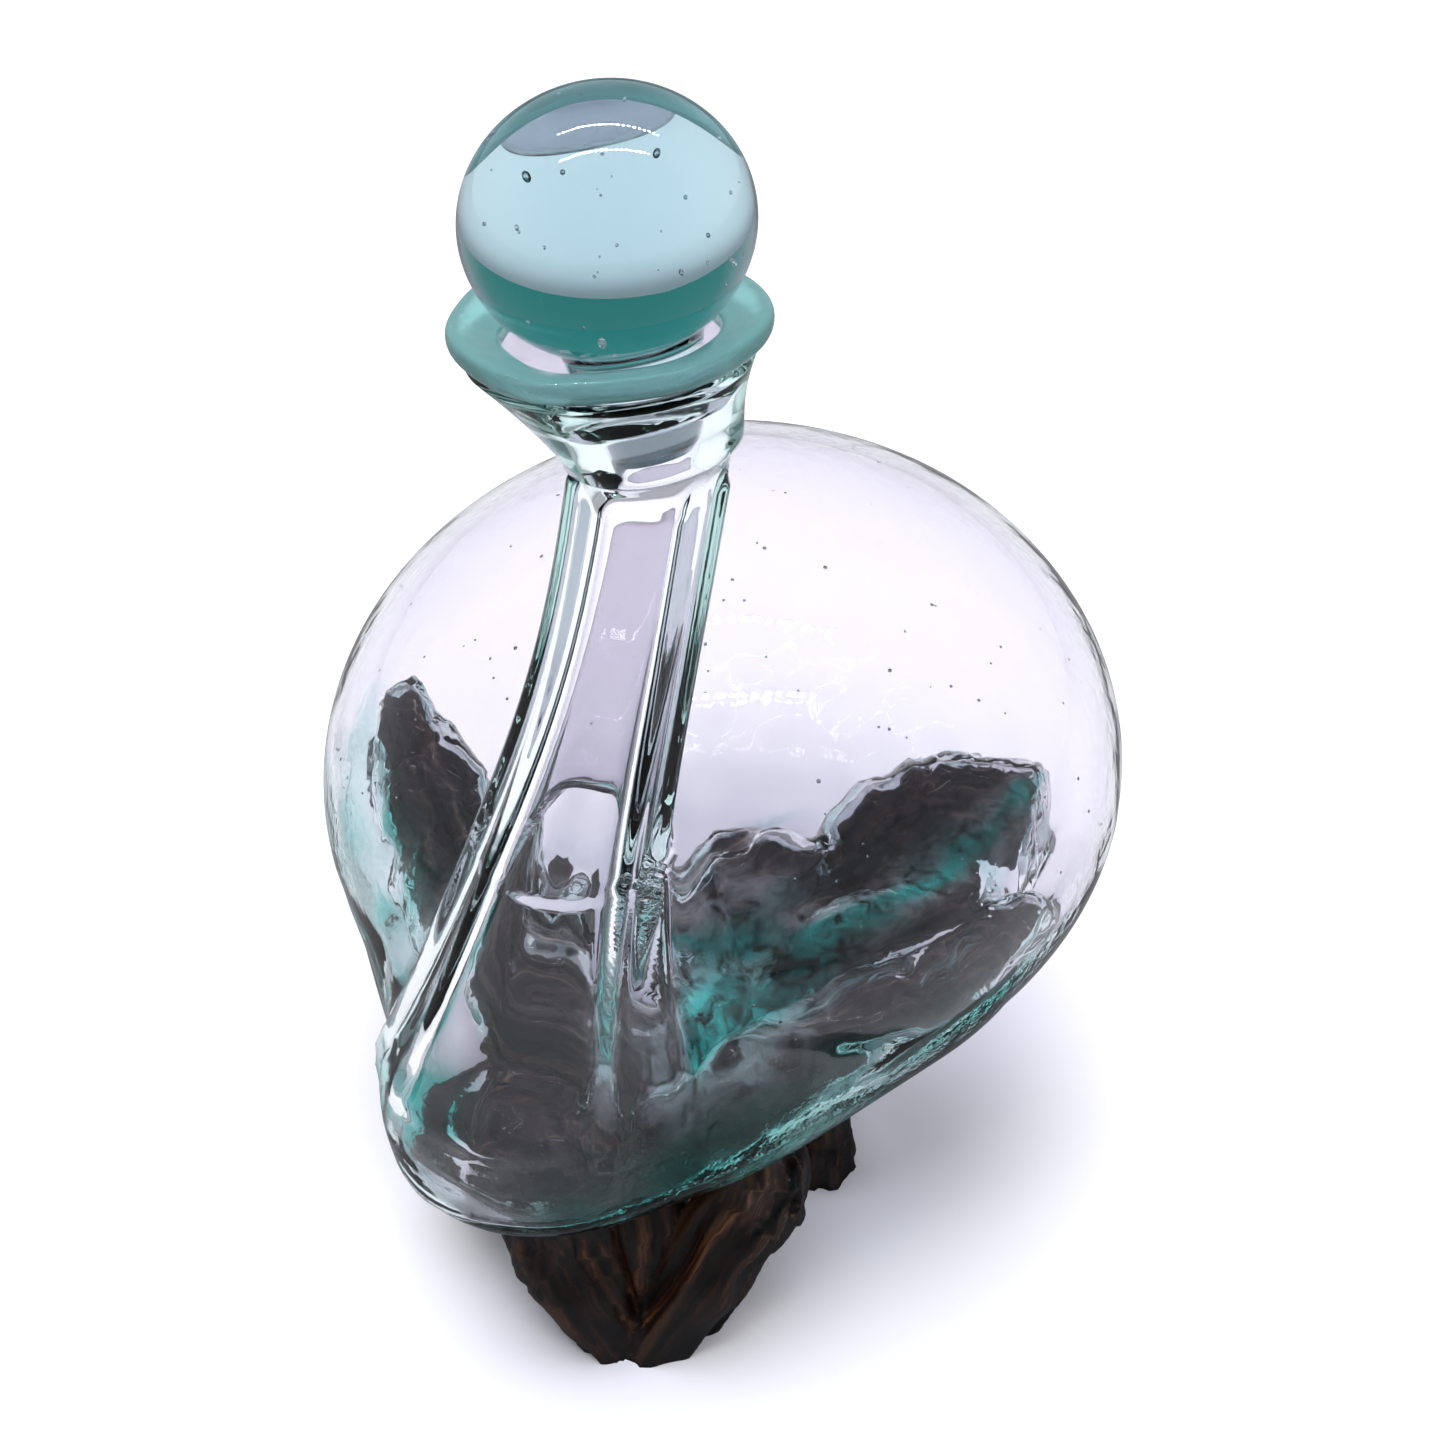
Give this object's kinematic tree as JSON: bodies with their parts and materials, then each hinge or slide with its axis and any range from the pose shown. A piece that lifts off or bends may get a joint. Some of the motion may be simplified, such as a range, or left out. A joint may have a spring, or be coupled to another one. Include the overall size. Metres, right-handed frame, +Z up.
{
  "type": "glass decanter on driftwood root",
  "caption": "Hand-blown aqua glass decanter slumped over a driftwood root, with a leaning neck, a thick lip ring and a solid glass ball stopper that lifts out.",
  "frame": {"origin": "middle of the whole object's footprint, on the table", "axes": "+Z up, +Y towards the back of the dome, the neck stands at the front at -Y, +X to the right"},
  "size_m": [0.1859, 0.2229, 0.2752],
  "materials": {
    "blown_glass": "gloss",
    "lip_glass": "gloss",
    "solid_glass": "gloss",
    "driftwood": "oiled"
  },
  "bodies": {
    "root": {"root_crown": "driftwood", "prong_left": "driftwood", "prong_centre": "driftwood", "prong_right": "driftwood", "limb_side": "driftwood", "leg_front_right": "driftwood", "leg_front_left": "driftwood", "leg_right": "driftwood", "leg_back_left": "driftwood", "leg_back_right": "driftwood"},
    "bottle": {"bottle_dome": "blown_glass", "bottle_base": "blown_glass", "bottle_neck": "blown_glass", "mouth_funnel": "blown_glass", "lip_ring": "lip_glass"},
    "stopper": {"stopper": "solid_glass"}
  },
  "joints": [
    {"name": "bottle_lift", "type": "slide", "parent": "root", "child": "bottle", "axis": [0, 0, 1], "range_m": [0, 0.06]},
    {"name": "stopper_lift", "type": "slide", "parent": "bottle", "child": "stopper", "axis": [-0.2043, 0.0384, 0.9781], "range_m": [0, 0.04]}
  ]
}
